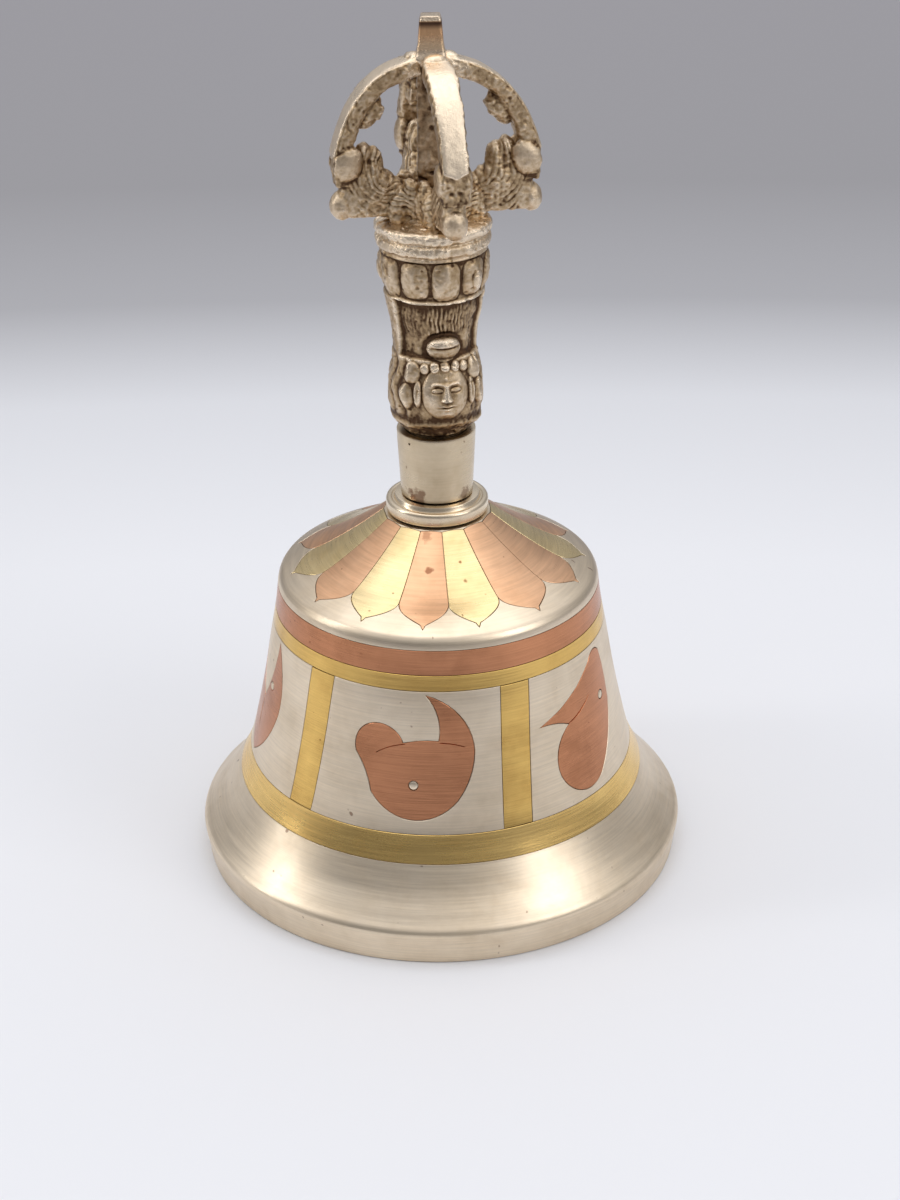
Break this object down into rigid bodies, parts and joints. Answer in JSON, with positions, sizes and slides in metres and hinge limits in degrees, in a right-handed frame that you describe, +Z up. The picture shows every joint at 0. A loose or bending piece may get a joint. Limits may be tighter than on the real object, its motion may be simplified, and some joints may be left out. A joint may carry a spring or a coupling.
{
  "type": "tibetan hand bell",
  "caption": "Ghanta hand bell: flared white-metal bell with copper and brass inlay, cast handle with a half-vajra crown, and a clapper that swings on a chain link.",
  "frame": {"origin": "centre of the rim's flat underside, on the bell's axis", "axes": "+Z up the bell's axis towards the handle's tip; -Y is the face turned to the viewer"},
  "size_m": [0.0918, 0.0918, 0.1583],
  "materials": {
    "white_metal": "turned and brushed white bronze, warm silver",
    "copper": "inlaid copper sheet, filed flush and brushed",
    "brass": "inlaid brass, filed flush and brushed",
    "cast_bronze": "lost-wax casting with worn highs and dark recesses",
    "rod_bronze": "forged square rod with brown heat colour and a filed tip",
    "polished_ferrule": "turned tube with brown spots at its foot",
    "steel": "plain turned steel",
    "dark_iron": "dark forged iron"
  },
  "bodies": {
    "bell": {"bell_shell": "white_metal", "copper_petal_1": "copper", "brass_petal_2": "brass", "copper_petal_3": "copper", "copper_petal_4": "copper", "brass_petal_5": "brass", "copper_petal_6": "copper", "brass_petal_7": "brass", "copper_petal_8": "copper", "brass_petal_9": "brass", "copper_petal_10": "copper", "brass_petal_11": "brass", "copper_petal_12": "copper", "brass_petal_13": "brass", "copper_petal_14": "copper", "brass_petal_15": "brass", "brass_bar_1": "brass", "brass_bar_2": "brass", "brass_bar_3": "brass", "brass_bar_4": "brass", "brass_bar_5": "brass", "copper_cloud_front": "copper", "rivet_cloud_front": "white_metal", "copper_leaf_right": "copper", "rivet_leaf_right": "white_metal", "copper_twin_back_right": "copper", "rivet_twin_back_right": "white_metal", "copper_cloud_back_left": "copper", "rivet_cloud_back_left": "white_metal", "copper_twin_left": "copper", "rivet_twin_left": "white_metal", "copper_band": "copper", "upper_brass_band": "brass", "lower_brass_band": "brass", "base_flange": "white_metal", "ferrule": "polished_ferrule", "handle_stem": "cast_bronze", "makara_prong_front": "cast_bronze", "makara_prong_right": "cast_bronze", "makara_prong_back": "cast_bronze", "makara_prong_left": "cast_bronze", "central_prong": "rod_bronze", "eye_bolt": "steel", "crown_washer": "steel", "crown_nut": "steel"},
    "link": {"link_ring": "dark_iron"},
    "clapper": {"clapper_rod": "dark_iron", "clapper_bulb": "dark_iron"}
  },
  "joints": [
    {"name": "link_swing", "type": "hinge", "parent": "bell", "child": "link", "pos_m": [0, 0, 0.0513], "axis": [1, 0, 0], "range_deg": [-10, 10]},
    {"name": "clapper_swing", "type": "hinge", "parent": "link", "child": "clapper", "pos_m": [0, 0, 0.0459], "axis": [0, 1, 0], "range_deg": [-44, 44]}
  ]
}
